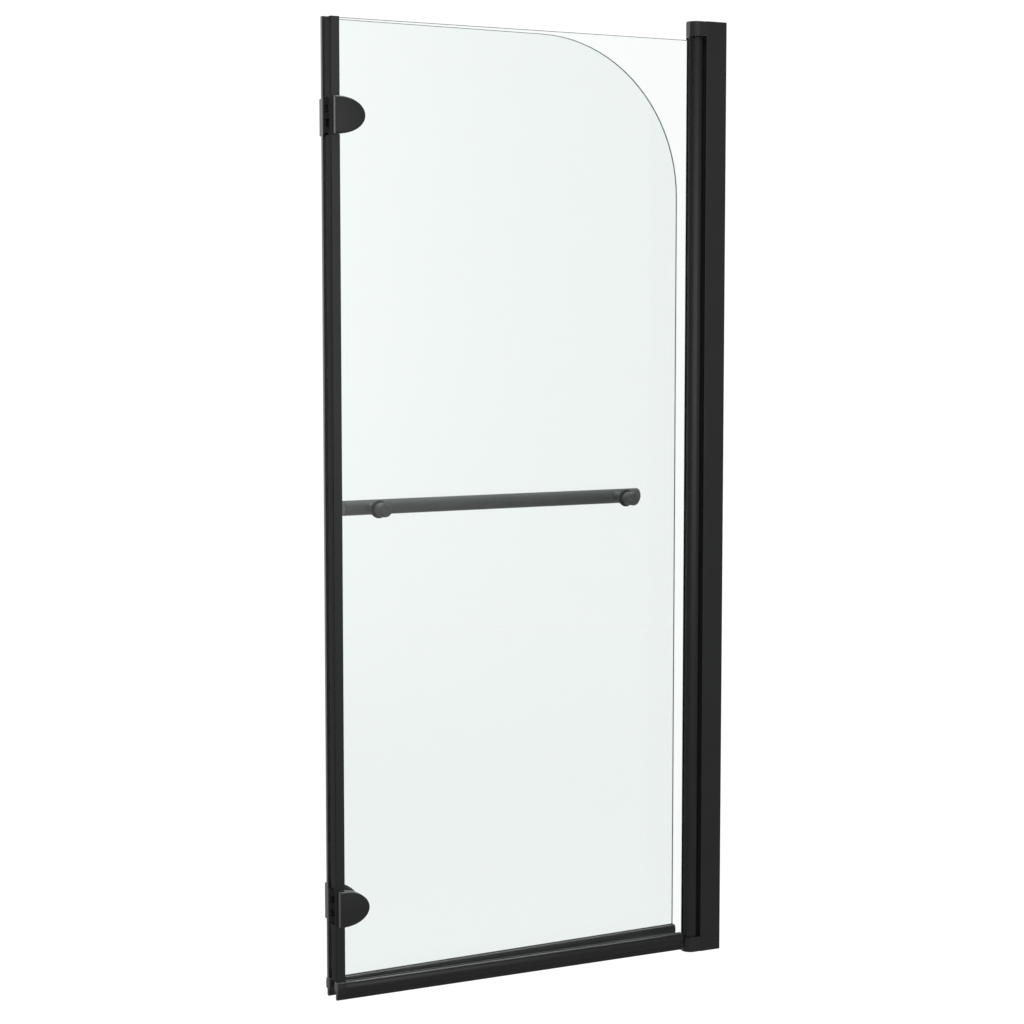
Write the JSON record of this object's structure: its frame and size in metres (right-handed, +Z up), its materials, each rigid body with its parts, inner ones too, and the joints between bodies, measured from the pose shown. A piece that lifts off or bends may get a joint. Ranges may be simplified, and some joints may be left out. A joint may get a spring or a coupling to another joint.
{
  "type": "folding bath screen",
  "caption": "Two-panel folding bath screen: glass panes with slim black frames, a wall profile, a wall pivot, fold hinges and a towel bar.",
  "frame": {"origin": "foot of the wall profile: the middle of the wall face's lower end", "axes": "+X into the wall, so the screen reaches towards -X; +Z up along the wall profile; +Y towards the side of the folded outer panel"},
  "size_m": [0.6247, 0.1186, 1.4],
  "materials": {
    "profile_black": "matte powder coat",
    "hinge_black": "matte powder coat",
    "bar_black": "satin powder coat",
    "cap_plastic": "fine moulded grain",
    "soft_seal": "matte",
    "clear_plastic": "smooth",
    "steel": "plain",
    "glass": "clear toughened glass"
  },
  "bodies": {
    "wall": {"wall_channel": "profile_black", "slide_channel": "profile_black", "channel_screws": "steel", "top_cap": "cap_plastic", "bottom_cap": "cap_plastic", "cap_screws": "steel", "pivot_pins": "steel", "pivot_seals": "soft_seal"},
    "inner_panel": {"pivot_profile": "profile_black", "pivot_bushes": "clear_plastic", "pivot_gasket": "soft_seal", "inner_glass": "glass", "inner_edge_channel": "profile_black", "fold_seal": "soft_seal", "inner_rail": "profile_black", "inner_rail_plugs": "cap_plastic", "inner_drip_seal": "soft_seal", "upper_inner_cover": "hinge_black", "lower_inner_cover": "hinge_black", "upper_inner_leaf": "hinge_black", "lower_inner_leaf": "hinge_black", "inner_hinge_pads": "soft_seal", "inner_hinge_screws": "steel", "hinge_pins": "steel", "hinge_washers": "cap_plastic"},
    "outer_panel": {"outer_glass": "glass", "outer_edge_channel": "profile_black", "outer_rail": "profile_black", "outer_rail_plugs": "cap_plastic", "outer_drip_seal": "soft_seal", "upper_outer_cover": "hinge_black", "lower_outer_cover": "hinge_black", "upper_outer_leaf": "hinge_black", "lower_outer_leaf": "hinge_black", "outer_hinge_pads": "soft_seal", "outer_hinge_screws": "steel", "towel_bar": "bar_black", "bar_end_plugs": "cap_plastic", "bar_inserts": "steel", "bar_posts": "bar_black", "post_gaskets": "soft_seal", "bar_studs": "steel", "bar_knobs": "bar_black"}
  },
  "joints": [
    {"name": "wall_pivot", "type": "hinge", "parent": "wall", "child": "inner_panel", "pos_m": [-0.045, 0, 0.7], "axis": [0, 0, 1], "range_deg": [-45, 90]},
    {"name": "fold", "type": "hinge", "parent": "inner_panel", "child": "outer_panel", "pos_m": [-0.62075, 0.016, 0.7], "axis": [0, 0, 1], "range_deg": [-2.2, 177.8]}
  ]
}
